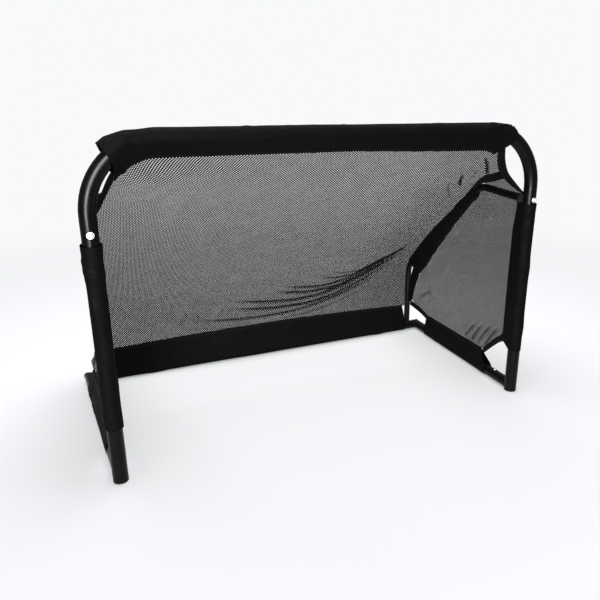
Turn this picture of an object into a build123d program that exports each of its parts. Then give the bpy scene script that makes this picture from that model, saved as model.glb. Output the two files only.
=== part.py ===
from build123d import *
from math import atan2, cos, degrees, hypot, radians, sin
import os

# Small steel soccer goal with slip-over net sleeves, one STEP file per piece.
#
# Millimetres, +Z up. +X runs along the crossbar and the mouth faces -Y. The origin is
# on the ground, in the middle of the footprint. Pieces are drawn with the posts' axes
# at y = 0 and are moved back to the footprint's middle when they are written. The right
# side is drawn once and mirrored for the left.

# ---------------------------------------------------------------- driving dimensions
HOOP_WIDTH = 1200.0        # over the outsides of the posts
HOOP_HEIGHT = 800.0        # ground to the top of the crossbar
POST_D = 36.0
POST_WALL = 1.5
HOOP_BEND_R = 155.0        # centreline radius of the two top corners
BASE_DEPTH = 598.0         # post axis to rear bar axis
BASE_SPLAY = 36.0          # each rear corner stands this much wider than its post
RAIL_D = 32.0
RAIL_WALL = 1.5

CAP_RIM = 3.0              # foot cap below the end of the post
CAP_PLUG = 22.0            # foot cap inside the post
CAP_CLEARANCE = 0.2
CAP_WALL = 2.0

STUB_LENGTH = 104.0        # from the post axis, inside the side rail
STUB_CLEARANCE = 0.3       # between stub and rail, all round
STUB_WALL = 1.5
RAIL_POST_GAP = 4.0        # open end of the rail to the post
WELD_BEAD = 2.0            # proud of the post
WELD_WIDTH = 3.5
MITRE_BEAD = 1.0
MITRE_BEAD_WIDTH = 5.0

BUTTON_OFFSET = 80.0       # snap button behind the post axis
BUTTON_D = 8.0
BUTTON_HOLE_CLEARANCE = 0.25
BUTTON_STANDS_OUT = 4.0    # above the rail when it is out
BUTTON_DOME = 1.6
FLANGE_D = 11.0
FLANGE_T = 1.2
FLANGE_CLEARANCE = 0.15
CLIP_WIDTH = 9.0
CLIP_T = 0.8
CLIP_LENGTH = 42.0
CLIP_BEND_R = 5.0

ARM_D = 22.0
ARM_WALL = 1.2
ARM_TOE_IN = 9.0           # each arm's foot stands this much inside its post
ARM_BEND_R = 60.0
ARM_SHOULDER_DEPTH = 210.0 # post axis to the upper bend
ARM_RISE = 16.0            # the upper bend above the bolt
ARM_KNEE_HEIGHT = 263.0    # the lower bend above the ground
ARM_FOOT_GAP = 2.5
PEG_LENGTH = 60.0
PEG_CLEARANCE = 0.3
PEG_WALL = 2.0
PEG_BEAD = 1.6

BOLT_BELOW_BAR = 190.0     # bolt axis to the crossbar's axis
BOLT_D = 8.0
BOLT_HEAD_D = 12.4
BOLT_HEAD_H = 4.4
BOLT_HEAD_ROUND = 2.64
BOLT_HOLE_CLEARANCE = 0.3
BOLT_IN_INSERT = 16.0
SOCKET_AF = 5.0
SOCKET_DEPTH = 2.6
WASHER_D = 15.0
WASHER_T = 1.6
SADDLE_D = 30.0
SADDLE_FLOOR = 6.0         # between post and arm
SADDLE_SOCKET = 6.0        # arm end inside the saddle
SADDLE_CLEARANCE = 0.15
INSERT_LENGTH = 24.0
INSERT_CLEARANCE = 0.05

FABRIC = 1.0
SLEEVE_GAP = 0.5           # sleeve to tube where it lies against it
SEAM_R = 1.5               # inside radius of a sleeve's sewn edge
SEW_GAP = 1.5              # between a net's edge and the sleeve or tape beside it
CROSSBAR_REACH = 46.0      # tube axis to the sewn edge
CROSSBAR_LEAN = 24.0       # degrees back from straight down
CROSSBAR_WRAP_LEFT = 42.0  # degrees of bend that the sleeve covers
CROSSBAR_WRAP_RIGHT = 31.0
POST_REACH = 52.0
POST_SLEEVE_BOTTOM = 142.0
POST_SLEEVE_BELOW_BOLT = 24.0
RAIL_REACH = 64.0
RAIL_LEAN = 6.0            # degrees inward from straight up
RAIL_SLEEVE_FRONT = 130.0  # behind the post axis, along the rail
RAIL_SLEEVE_SHORT = 90.0   # its rear end in front of the rear bar's axis
REAR_REACH = 87.0
REAR_LEAN = 4.0            # degrees forward from straight up
REAR_SLEEVE_INSET = 32.0   # each end inside the post's axis
ARM_REACH_TOP = 27.0
ARM_REACH_LOW = 58.0
ARM_SLEEVE_TOP_INSET = 34.0
ARM_SLEEVE_LOW_INSET = 40.0

NET = 1.0
NET_SHOULDER_SAG = 40.0    # mid-width sag of the net at the upper bend
NET_KNEE_SAG = 60.0        # and at the lower bend
NET_RAISE = 16.0           # net above the arm's axis at the bends
NET_SIDE_GAP = 6.0         # net edge to the inner side of the arm
NET_SLACK_FLANK = 0.35     # share of the mid-width sag beside the crossbar's bend
NET_SLACK_OUTER = 0.5      # where the crossbar's straight part ends
NET_SLACK_INNER = 0.85     # half way from there to mid-width
NET_STEPS = 5              # short faces to a span
TIP_INSET = 52.0           # shoulder tape's start on the top binding, inside the post's axis
TIP_DEPTH = 55.0           # and behind it
TIP_BELOW_BAR = 111.0
TAPE_WIDTH = 20.0
TAPE = 1.5
TAPE_GAP = 3.0             # between a net's edge and a tape that runs along it
BINDING_FALL = 5.0         # drop of the top binding across its width
BINDING_OVER_SADDLE = 7.5
BINDING_INSET = 6.0        # lower end of the top binding inside the post's axis
GUSSET_DROP = 6.0          # gusset's tip under the start of the shoulder tape
SHOULDER_TAPE_LIFT = 4.5   # above the gusset's ridge
SHOULDER_TAPE_HALF = 8.0   # half its width, measured across
SHOULDER_TAPE_FALL = 6.0   # and its fall over that half

# ------------------------------------------------------------------- derived values
POST_R = POST_D / 2
RAIL_R = RAIL_D / 2
ARM_R = ARM_D / 2
POST_X = HOOP_WIDTH / 2 - POST_R
BAR_Z = HOOP_HEIGHT - POST_R
CORNER_X = POST_X + BASE_SPLAY
RAIL_Z = RAIL_R + SLEEVE_GAP + FABRIC
RAIL_LENGTH = hypot(BASE_SPLAY, BASE_DEPTH)
RAIL_ANGLE = degrees(atan2(BASE_SPLAY, BASE_DEPTH))
TOE_ANGLE = degrees(atan2(ARM_TOE_IN, BASE_DEPTH))
ARM_DEPTH = hypot(ARM_TOE_IN, BASE_DEPTH)
BOLT_HEIGHT = BAR_Z - BOLT_BELOW_BAR
POST_SLEEVE_TOP = BOLT_HEIGHT - POST_SLEEVE_BELOW_BOLT
RAIL_SLEEVE_BACK = BASE_DEPTH - RAIL_SLEEVE_SHORT
REAR_SLEEVE_HALF = POST_X - REAR_SLEEVE_INSET
SHOULDER_TIP = (POST_X - TIP_INSET, TIP_DEPTH, BAR_Z - TIP_BELOW_BAR)
ARM_START = POST_R + SADDLE_FLOOR
DRILL_END = ARM_START + INSERT_LENGTH + ARM_D
STUB_R = RAIL_R - RAIL_WALL - STUB_CLEARANCE
BUTTON_R = BUTTON_D / 2
BOLT_R = BOLT_D / 2
FRONT_REACH = POST_R + WASHER_T + BOLT_HEAD_H
BACK_REACH = BASE_DEPTH + RAIL_R + SLEEVE_GAP + FABRIC
TO_FOOTPRINT = Pos(0, (FRONT_REACH - BACK_REACH) / 2, 0)

POST_AXIS = Pos(POST_X, 0, 0)
RAIL_AXIS = Pos(POST_X, 0, RAIL_Z) * Rot(0, 0, -RAIL_ANGLE)
ARM_PLANE = Pos(POST_X, 0, 0) * Rot(0, 0, TOE_ANGLE)
BOLT_AXIS = Pos(POST_X, 0, BOLT_HEIGHT)

ARM_FRONT = Vector(0, ARM_START, BOLT_HEIGHT)
ARM_SHOULDER = Vector(0, ARM_SHOULDER_DEPTH, BOLT_HEIGHT + ARM_RISE)
ARM_KNEE = Vector(0, ARM_DEPTH, ARM_KNEE_HEIGHT)
ARM_FOOT = Vector(0, ARM_DEPTH, RAIL_Z)
ARM_SLOPE = (ARM_KNEE - ARM_SHOULDER).normalized()
ARM_INWARD = Vector(0, ARM_SLOPE.Z, -ARM_SLOPE.Y)

pieces = {}


# --------------------------------------------------------------------------- helpers
def rod(radius, start, end):
    """A round bar between two points."""
    start = Vector(*start)
    end = Vector(*end)
    plane = Plane(origin=start, z_dir=end - start)
    return extrude(plane * Circle(radius), (end - start).length)


def tube(radius, wall, start, end):
    return rod(radius, start, end) - rod(radius - wall, start, end)


def bent_tube(radius, wall, points, bend_r):
    """A tube along a polyline with round bends."""
    path = FilletPolyline(*points, radius=bend_r)
    start = Plane(origin=path @ 0, z_dir=path % 0)
    return sweep(start * (Circle(radius) - Circle(radius - wall)), path=path)


def pear(big_r, small_r, reach):
    """A round outline drawn out on one side (-Y) to a small round edge."""
    slant = (big_r - small_r) / reach
    side = (1 - slant * slant) ** 0.5
    near_l = (-big_r * side, -big_r * slant)
    near_r = (big_r * side, -big_r * slant)
    far_l = (-small_r * side, -reach - small_r * slant)
    far_r = (small_r * side, -reach - small_r * slant)
    outline = [
        ThreePointArc(near_r, (0, big_r), near_l),
        Line(near_l, far_l),
        ThreePointArc(far_l, (0, -reach - small_r), far_r),
        Line(far_r, near_r),
    ]
    return make_face(outline)


def sleeve_faces(tube_r, reach):
    """Outer and inner outlines of a fabric sleeve round a tube, sewn edge towards -Y."""
    inner_r = tube_r + SLEEVE_GAP
    seam = reach - SEAM_R - FABRIC
    return pear(inner_r + FABRIC, SEAM_R + FABRIC, seam), pear(inner_r, SEAM_R, seam)


def straight_sleeve(plane, length, tube_r, reach):
    outer, inner = sleeve_faces(tube_r, reach)
    return extrude(plane * outer, length) - extrude(plane * inner, length)


def ruled_sheet(sections):
    """A thin closed sheet through flat outlines, one after the other."""
    faces = [make_face(Polyline(*outline, close=True)) for outline in sections]
    return loft(faces, ruled=True)


def with_between(sections, steps):
    """The outlines with evenly shared ones put in between, so a twisted sheet has short faces."""
    filled = []
    for first, second in zip(sections, sections[1:]):
        for k in range(steps):
            filled.append([Vector(a) + (Vector(b) - Vector(a)) * (k / steps)
                           for a, b in zip(first, second)])
    return [*filled, sections[-1]]


def strip_outline(station, along, path, thickness):
    """Outline of a strip along a short path in the upright plane at a station in x or y."""
    points = [Vector(a, b) for a, b in path]
    left = []
    right = []
    for i, point in enumerate(points):
        before = points[max(i - 1, 0)]
        after = points[min(i + 1, len(points) - 1)]
        run = (after - before).normalized()
        normal = Vector(-run.Y, run.X) * (thickness / 2)
        left.append(point + normal)
        right.append(point - normal)
    ring = left + right[::-1]
    if along == "x":
        return [(station, p.X, p.Y) for p in ring]
    return [(p.X, station, p.Y) for p in ring]


def both_sides(name, right_piece):
    """Keep a piece for the right side and its mirror image for the left."""
    pieces["right_" + name] = right_piece
    pieces["left_" + name] = mirror(right_piece, about=Plane.YZ)


def group(name, right_piece):
    """Keep two like pieces, right and left, as separate solids in one node."""
    left_piece = mirror(right_piece, about=Plane.YZ)
    pieces[name] = Compound(list(right_piece.solids()) + list(left_piece.solids()))


# ----------------------------------------------------------------------- front hoop
def make_hoop():
    hoop = bent_tube(POST_R, POST_WALL, [
        (-POST_X, 0, CAP_RIM), (-POST_X, 0, BAR_Z), (POST_X, 0, BAR_Z), (POST_X, 0, CAP_RIM),
    ], HOOP_BEND_R)
    hole = rod(BOLT_R + BOLT_HOLE_CLEARANCE, (0, -POST_D, 0), (0, POST_D, 0))
    pieces["front_hoop"] = hoop - BOLT_AXIS * hole - mirror(BOLT_AXIS * hole, about=Plane.YZ)

    rim = fillet(Cylinder(POST_R, CAP_RIM, align=(Align.CENTER, Align.CENTER, Align.MIN))
                 .edges().sort_by(Axis.Z)[0], CAP_RIM / 2)
    plug_r = POST_R - POST_WALL - CAP_CLEARANCE
    plug = rod(plug_r, (0, 0, CAP_RIM), (0, 0, CAP_RIM + CAP_PLUG))
    hollow = rod(plug_r - CAP_WALL, (0, 0, CAP_RIM), (0, 0, CAP_RIM + CAP_PLUG))
    both_sides("foot_cap", POST_AXIS * (rim + plug - hollow))


# ------------------------------------------------------------------------ base frame
def make_base():
    corner = Vector(CORNER_X, BASE_DEPTH, RAIL_Z)
    back = Vector(sin(radians(RAIL_ANGLE)), cos(radians(RAIL_ANGLE)), 0)
    inward = Vector(-1, 0, 0)
    mitre = Plane(origin=corner, z_dir=-back - inward)
    past = RAIL_D * 2

    def rail_rod(radius):
        whole = RAIL_AXIS * rod(radius, (0, 0, 0), (0, RAIL_LENGTH + past, 0))
        return split(whole, bisect_by=mitre, keep=Keep.TOP)

    def bar_rod(radius):
        whole = rod(radius, (-CORNER_X - past, BASE_DEPTH, RAIL_Z),
                    (CORNER_X + past, BASE_DEPTH, RAIL_Z))
        right_cut = split(whole, bisect_by=mitre, keep=Keep.BOTTOM)
        left_mitre = Plane(origin=(-CORNER_X, BASE_DEPTH, RAIL_Z),
                           z_dir=(-mitre.z_dir.X, mitre.z_dir.Y, 0))
        return split(right_cut, bisect_by=left_mitre, keep=Keep.BOTTOM)

    post_clear = POST_AXIS * Cylinder(POST_R + RAIL_POST_GAP, HOOP_HEIGHT)
    button_hole = RAIL_AXIS * rod(BUTTON_R + BUTTON_HOLE_CLEARANCE,
                                  (0, BUTTON_OFFSET, 0), (0, BUTTON_OFFSET, RAIL_D))
    rail = rail_rod(RAIL_R) - rail_rod(RAIL_R - RAIL_WALL) - post_clear - button_hole
    both_sides("base_rail", rail)
    pieces["rear_base_bar"] = bar_rod(RAIL_R) - bar_rod(RAIL_R - RAIL_WALL)

    slab = mitre * Box(4 * RAIL_D, 4 * RAIL_D, MITRE_BEAD_WIDTH)
    fat = rail_rod(RAIL_R + MITRE_BEAD) + bar_rod(RAIL_R + MITRE_BEAD)
    group("corner_welds", (fat & slab) - rail_rod(RAIL_R) - bar_rod(RAIL_R))

    post = POST_AXIS * Cylinder(POST_R, HOOP_HEIGHT)
    stub = RAIL_AXIS * tube(STUB_R, STUB_WALL, (0, 0, 0), (0, STUB_LENGTH, 0))
    both_sides("rail_stub", stub - post - button_hole)
    bead = RAIL_AXIS * tube(STUB_R + WELD_WIDTH, WELD_WIDTH, (0, 0, 0), (0, POST_D, 0))
    near_post = POST_AXIS * Cylinder(POST_R + WELD_BEAD, HOOP_HEIGHT)
    group("stub_welds", (bead & near_post) - post)


# ---------------------------------------------------------------------- snap buttons
def make_snap_buttons():
    inside = STUB_R - STUB_WALL
    flange_top = (inside ** 2 - (FLANGE_D / 2) ** 2) ** 0.5 - FLANGE_CLEARANCE
    flange_low = flange_top - FLANGE_T
    top = RAIL_R + BUTTON_STANDS_OUT
    at = BUTTON_OFFSET
    pin = fillet(rod(BUTTON_R, (0, at, flange_low), (0, at, top))
                 .edges().sort_by(Axis.Z)[-1], BUTTON_DOME)
    flange = rod(FLANGE_D / 2, (0, at, flange_low), (0, at, flange_top))
    both_sides("snap_button", RAIL_AXIS * (pin + flange))

    foot = (inside ** 2 - (CLIP_WIDTH / 2) ** 2) ** 0.5 - FLANGE_CLEARANCE
    nose = at + FLANGE_D / 2
    tail = nose - CLIP_LENGTH
    upper = flange_low - FLANGE_CLEARANCE - CLIP_T / 2
    lower = CLIP_T / 2 - foot
    path = FilletPolyline((nose, upper), (at - FLANGE_D / 2, upper), (tail, lower / 3),
                          (tail, lower), (nose, lower), radius=CLIP_BEND_R / 2)
    ribbon = Plane.YZ.offset(-CLIP_WIDTH / 2) * trace(path, CLIP_T)
    both_sides("spring_clip", RAIL_AXIS * extrude(ribbon, CLIP_WIDTH))


# ---------------------------------------------------------------------- support arms
def make_arms():
    bar_clear = rod(RAIL_R + ARM_FOOT_GAP, (0, BASE_DEPTH, RAIL_Z), (POST_X * 2, BASE_DEPTH, RAIL_Z))
    bar = rod(RAIL_R, (0, BASE_DEPTH, RAIL_Z), (POST_X * 2, BASE_DEPTH, RAIL_Z))
    arm = bent_tube(ARM_R, ARM_WALL, [ARM_FRONT, ARM_SHOULDER, ARM_KNEE, ARM_FOOT], ARM_BEND_R)
    both_sides("support_arm", ARM_PLANE * arm - bar_clear)

    post = POST_AXIS * Cylinder(POST_R, HOOP_HEIGHT * 2)
    bolt_hole = BOLT_AXIS * rod(BOLT_R + BOLT_HOLE_CLEARANCE, (0, 0, 0), (0, DRILL_END, 0))
    rise = (ARM_SHOULDER - ARM_FRONT).normalized()
    saddle_end = ARM_FRONT + rise * SADDLE_SOCKET
    socket = rod(ARM_R + SADDLE_CLEARANCE, ARM_FRONT, ARM_FRONT + rise * SADDLE_D)
    block = rod(SADDLE_D / 2, ARM_FRONT - rise * ARM_START, saddle_end)
    both_sides("arm_saddle", ARM_PLANE * (block - socket) - post - bolt_hole)

    insert_end = ARM_FRONT + rise * INSERT_LENGTH
    insert = ARM_PLANE * rod(ARM_R - ARM_WALL - INSERT_CLEARANCE, ARM_FRONT, insert_end)
    thread = BOLT_AXIS * rod(BOLT_R + INSERT_CLEARANCE, (0, 0, 0), (0, DRILL_END, 0))
    group("arm_thread_inserts", insert - thread)

    under_head = -POST_R - WASHER_T
    head = fillet(rod(BOLT_HEAD_D / 2, (0, under_head, 0), (0, under_head - BOLT_HEAD_H, 0))
                  .edges().sort_by(Axis.Y)[0], BOLT_HEAD_ROUND)
    socket_plane = Plane(origin=(0, under_head - BOLT_HEAD_H, 0), z_dir=(0, 1, 0))
    hexagon = extrude(socket_plane * RegularPolygon(SOCKET_AF / 2, 6, major_radius=False),
                      SOCKET_DEPTH)
    shank = rod(BOLT_R, (0, under_head, 0), (0, ARM_START + BOLT_IN_INSERT, 0))
    group("arm_bolts", BOLT_AXIS * (head - hexagon + shank))
    washer = tube(WASHER_D / 2, WASHER_D / 2 - BOLT_R - BOLT_HOLE_CLEARANCE,
                  (0, under_head, 0), (0, -POST_R, 0))
    group("arm_bolt_washers", BOLT_AXIS * washer)

    peg_r = ARM_R - ARM_WALL - PEG_CLEARANCE
    peg_top = ARM_FOOT + Vector(0, 0, RAIL_R + PEG_LENGTH)
    both_sides("arm_peg", ARM_PLANE * tube(peg_r, PEG_WALL, ARM_FOOT, peg_top) - bar)
    near_bar = rod(RAIL_R + PEG_BEAD, (0, BASE_DEPTH, RAIL_Z), (POST_X * 2, BASE_DEPTH, RAIL_Z))
    bead = ARM_PLANE * tube(peg_r + PEG_BEAD, PEG_BEAD, ARM_FOOT, peg_top)
    group("peg_welds", (bead & near_bar) - bar)


# ------------------------------------------------------------------------ net sleeves
def make_crossbar_sleeve():
    centre_x = POST_X - HOOP_BEND_R
    centre_z = BAR_Z - HOOP_BEND_R

    def on_bend(side, wrap):
        angle = radians(wrap)
        return (side * (centre_x + HOOP_BEND_R * sin(angle)), 0, centre_z + HOOP_BEND_R * cos(angle))

    left = on_bend(-1, CROSSBAR_WRAP_LEFT)
    left_mid = on_bend(-1, CROSSBAR_WRAP_LEFT / 2)
    right = on_bend(1, CROSSBAR_WRAP_RIGHT)
    right_mid = on_bend(1, CROSSBAR_WRAP_RIGHT / 2)
    path = Wire([
        ThreePointArc(left, left_mid, (-centre_x, 0, BAR_Z)).edge(),
        Line((-centre_x, 0, BAR_Z), (centre_x, 0, BAR_Z)).edge(),
        ThreePointArc((centre_x, 0, BAR_Z), right_mid, right).edge(),
    ])
    start = Plane(origin=left, x_dir=(0, 1, 0), z_dir=path % 0)
    outer, inner = sleeve_faces(POST_R, CROSSBAR_REACH)
    turn = Rot(0, 0, CROSSBAR_LEAN)
    shell = sweep(start * turn * outer, path=path) - sweep(start * turn * inner, path=path)
    pieces["crossbar_sleeve"] = shell


def make_straight_sleeves():
    post_plane = Plane(origin=(POST_X, 0, POST_SLEEVE_BOTTOM), x_dir=(-1, 0, 0), z_dir=(0, 0, 1))
    length = POST_SLEEVE_TOP - POST_SLEEVE_BOTTOM
    both_sides("post_sleeve", straight_sleeve(post_plane, length, POST_R, POST_REACH))

    rail_plane = Plane(origin=(0, RAIL_SLEEVE_FRONT, 0), x_dir=(1, 0, 0), z_dir=(0, 1, 0))
    rail_plane = rail_plane * Rot(0, 0, -RAIL_LEAN)
    length = RAIL_SLEEVE_BACK - RAIL_SLEEVE_FRONT
    both_sides("rail_sleeve", RAIL_AXIS * straight_sleeve(rail_plane, length, RAIL_R, RAIL_REACH))

    rear_plane = Plane(origin=(-REAR_SLEEVE_HALF, BASE_DEPTH, RAIL_Z), x_dir=(0, 1, 0),
                       z_dir=(1, 0, 0)) * Rot(0, 0, 180 + REAR_LEAN)
    pieces["rear_bar_sleeve"] = straight_sleeve(rear_plane, 2 * REAR_SLEEVE_HALF,
                                                RAIL_R, REAR_REACH)


def make_arm_sleeves():
    top = ARM_SHOULDER + ARM_SLOPE * ARM_SLEEVE_TOP_INSET
    low = ARM_KNEE - ARM_SLOPE * ARM_SLEEVE_LOW_INSET
    across = Vector(-1, 0, 0)
    top_plane = Plane(origin=top, x_dir=across, z_dir=ARM_SLOPE)
    low_plane = Plane(origin=low, x_dir=across, z_dir=ARM_SLOPE)
    top_outer, top_inner = sleeve_faces(ARM_R, ARM_REACH_TOP)
    low_outer, low_inner = sleeve_faces(ARM_R, ARM_REACH_LOW)
    outer = loft([top_plane * top_outer, low_plane * low_outer], ruled=True)
    inner = loft([top_plane * top_inner, low_plane * low_inner], ruled=True)
    both_sides("arm_sleeve", ARM_PLANE * (outer - inner))

    seam = low + ARM_INWARD * ARM_REACH_LOW
    behind = ARM_DEPTH - ARM_R - SEW_GAP
    corner = [(seam.Y, seam.Z - SEW_GAP), (behind, seam.Z - SEW_GAP),
              (behind, RAIL_Z + REAR_REACH + SEW_GAP)]
    outline = [(0, y, z) for y, z in corner]
    panel = extrude(make_face(Polyline(*outline, close=True)), FABRIC, both=True)
    both_sides("corner_panel", ARM_PLANE * panel)


# ------------------------------------------------------------------------- net panels
def make_back_net():
    apex_z = BAR_Z - CROSSBAR_REACH * cos(radians(CROSSBAR_LEAN)) - SEW_GAP
    apex_y = CROSSBAR_REACH * sin(radians(CROSSBAR_LEAN))
    hem_z = RAIL_Z + REAR_REACH * cos(radians(REAR_LEAN)) + SEW_GAP
    hem_y = BASE_DEPTH - REAR_REACH * sin(radians(REAR_LEAN))
    shoulder = Vector(ARM_SHOULDER.Y, ARM_SHOULDER.Z + NET_RAISE)
    knee = Vector(ARM_KNEE.Y + ARM_R, ARM_KNEE.Z)
    hang = Vector(ARM_INWARD.Y, ARM_INWARD.Z)
    edge_x = POST_X - ARM_TOE_IN - ARM_R - NET_SIDE_GAP
    straight_x = POST_X - HOOP_BEND_R
    bend_wrap = radians(min(CROSSBAR_WRAP_LEFT, CROSSBAR_WRAP_RIGHT))
    flank_x = straight_x + (HOOP_BEND_R - CROSSBAR_REACH) * sin(bend_wrap)
    drop = (HOOP_BEND_R - CROSSBAR_REACH) * (1 - cos(bend_wrap))

    def section(x, top, slack):
        at_shoulder = shoulder + hang * (NET_SHOULDER_SAG * slack)
        at_knee = knee + hang * (NET_KNEE_SAG * slack)
        path = [top, (at_shoulder.X, at_shoulder.Y), (at_knee.X, at_knee.Y), (hem_y, hem_z)]
        return strip_outline(x, "x", path, NET)

    share = (edge_x - flank_x) / (POST_X - flank_x)
    flank_top = Vector(apex_y, apex_z - drop)
    edge_top = flank_top + (shoulder - flank_top) * share
    stations = [
        (edge_x, (edge_top.X, edge_top.Y), 0.0),
        (flank_x, (flank_top.X, flank_top.Y), NET_SLACK_FLANK),
        (straight_x, (apex_y, apex_z), NET_SLACK_OUTER),
        (straight_x / 2, (apex_y, apex_z), NET_SLACK_INNER),
    ]
    right = [section(x, top, slack) for x, top, slack in stations]
    left = [section(-x, top, slack) for x, top, slack in stations]
    middle = [section(0, (apex_y, apex_z), 1.0)]
    pieces["back_net"] = ruled_sheet(with_between(right + middle + left[::-1], NET_STEPS))


def arm_height(y):
    """Height of the arm's axis over its first, nearly level run."""
    run = (y - ARM_FRONT.Y) / (ARM_SHOULDER.Y - ARM_FRONT.Y)
    return ARM_FRONT.Z + run * (ARM_SHOULDER.Z - ARM_FRONT.Z)


def make_side_nets():
    level_gap = ARM_R + SEW_GAP
    rail_top = RAIL_Z + RAIL_REACH + SEW_GAP
    rail_x = POST_X - RAIL_REACH * sin(radians(RAIL_LEAN))
    splay = BASE_SPLAY / BASE_DEPTH
    toe = ARM_TOE_IN / BASE_DEPTH
    high_seam = ARM_SHOULDER + ARM_SLOPE * ARM_SLEEVE_TOP_INSET
    high_seam = high_seam + ARM_INWARD * (ARM_REACH_TOP + SEW_GAP)
    low_seam = ARM_KNEE - ARM_SLOPE * ARM_SLEEVE_LOW_INSET
    low_seam = low_seam + ARM_INWARD * (ARM_REACH_LOW + SEW_GAP)
    hem = RAIL_Z + REAR_REACH

    front_y = POST_REACH + SEW_GAP
    chamfer_y = RAIL_SLEEVE_FRONT + TAPE_WIDTH
    rear_y = ARM_DEPTH - ARM_R - SEW_GAP - TAPE_WIDTH / 2
    panel_run = (rear_y - low_seam.Y) / (ARM_DEPTH - ARM_R - SEW_GAP - low_seam.Y)
    panel_z = low_seam.Z + panel_run * (hem - low_seam.Z) - TAPE_GAP
    front_low = POST_SLEEVE_BOTTOM + TAPE_WIDTH
    rear_x = POST_X + TAPE_WIDTH / 2
    stations = [
        (front_y, (POST_X, front_low), arm_height(front_y) - level_gap),
        (chamfer_y, (rail_x + splay * chamfer_y, rail_top), arm_height(chamfer_y) - level_gap),
        (high_seam.Y, (rail_x + splay * high_seam.Y, rail_top), high_seam.Z - TAPE_GAP),
        (low_seam.Y, (rail_x + splay * low_seam.Y, rail_top + TAPE_GAP),
         low_seam.Z - TAPE_GAP),
        (rear_y, (rear_x, hem + TAPE_GAP), panel_z),
    ]
    outlines = []
    for y, low, high_z in stations:
        outlines.append(strip_outline(y, "y", [low, (POST_X - toe * y, high_z)], NET))
    both_sides("side_net", ruled_sheet(outlines))

    front_tape = []
    for y in (front_y, RAIL_SLEEVE_FRONT - TAPE_GAP):
        run = (y - front_y) / (chamfer_y - front_y)
        x = POST_X + run * (rail_x + splay * chamfer_y - POST_X)
        edge = front_low + run * (rail_top - front_low) - TAPE_GAP
        front_tape.append(strip_outline(y, "y", [(x, edge - TAPE_WIDTH), (x, edge)], TAPE))
    both_sides("front_binding", ruled_sheet(front_tape))

    rear_tape = []
    rail_end = RAIL_SLEEVE_BACK + TAPE_GAP
    for y, x, edge in ((rail_end, rail_x + splay * rail_end, rail_top - SEW_GAP),
                       (rear_y, rear_x, hem)):
        rear_tape.append(strip_outline(y, "y", [(x, edge - TAPE_WIDTH), (x, edge)], TAPE))
    both_sides("rear_binding", ruled_sheet(rear_tape))


def make_shoulders():
    """Net gusset over each arm, and the tapes along its two upper edges."""
    tip_x, tip_y, tip_z = SHOULDER_TIP
    toe = ARM_TOE_IN / BASE_DEPTH
    post_y = POST_R + TAPE_GAP
    post_z = BOLT_HEIGHT + SADDLE_D / 2 + BINDING_OVER_SADDLE
    ridge_y = ARM_SHOULDER.Y - ARM_R
    ridge = Vector(POST_X - toe * ridge_y, ridge_y, ARM_SHOULDER.Z + ARM_R + TAPE_GAP)
    tip = Vector(tip_x, tip_y, tip_z)
    by_post = Vector(POST_X, post_y, post_z)
    past_tape = TAPE_WIDTH + SEW_GAP
    foot = by_post + Vector(-TAPE_GAP, past_tape, -TAPE_GAP)
    corners = [foot, tip + Vector(SEW_GAP, past_tape, -GUSSET_DROP), ridge]
    gusset = extrude(make_face(Polyline(*corners, close=True)), NET / 2, both=True)
    both_sides("shoulder_net", gusset)

    for side, name, wrap in ((1, "right", CROSSBAR_WRAP_RIGHT), (-1, "left", CROSSBAR_WRAP_LEFT)):
        reach = CROSSBAR_REACH * cos(radians(CROSSBAR_LEAN))
        angle = radians(wrap)
        end_x = POST_X - HOOP_BEND_R + (HOOP_BEND_R - reach) * sin(angle) + TAPE_GAP
        end_z = BAR_Z - HOOP_BEND_R + (HOOP_BEND_R - reach) * cos(angle) - TAPE_GAP
        end_y = CROSSBAR_REACH * sin(radians(CROSSBAR_LEAN)) - TAPE_WIDTH - SEW_GAP
        outlines = []
        for x, y, z in ((end_x, end_y, end_z), SHOULDER_TIP,
                        (POST_X - BINDING_INSET, post_y, post_z)):
            edges = [(y, z), (y + TAPE_WIDTH, z - BINDING_FALL)]
            outlines.append(strip_outline(side * x, "x", edges, TAPE))
        pieces[name + "_top_binding"] = ruled_sheet(outlines)

    half = Vector(SHOULDER_TAPE_HALF, -SHOULDER_TAPE_FALL)
    tape = []
    for point in (tip + Vector(0, TAPE_WIDTH + SHOULDER_TAPE_LIFT, 0),
                  ridge + Vector(0, 0, SHOULDER_TAPE_LIFT)):
        middle = Vector(point.X, point.Z + SEW_GAP)
        ends = [middle - half, middle + half]
        tape.append(strip_outline(point.Y, "y", [(p.X, p.Y) for p in ends], TAPE))
    both_sides("shoulder_tape", ruled_sheet(tape))


def write_pieces():
    os.makedirs("parts", exist_ok=True)
    for name, piece in pieces.items():
        export_step(TO_FOOTPRINT * piece, f"parts/{name}.step")


make_hoop()
make_base()
make_snap_buttons()
make_arms()
make_crossbar_sleeve()
make_straight_sleeves()
make_arm_sleeves()
make_back_net()
make_side_nets()
make_shoulders()
write_pieces()
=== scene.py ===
"""Looks of a small black soccer goal: coated tube, fabric sleeves, fine knitted net and a plain studio."""
import bpy
import math
import numpy as np
from mathutils import Matrix, Vector, noise


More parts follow.
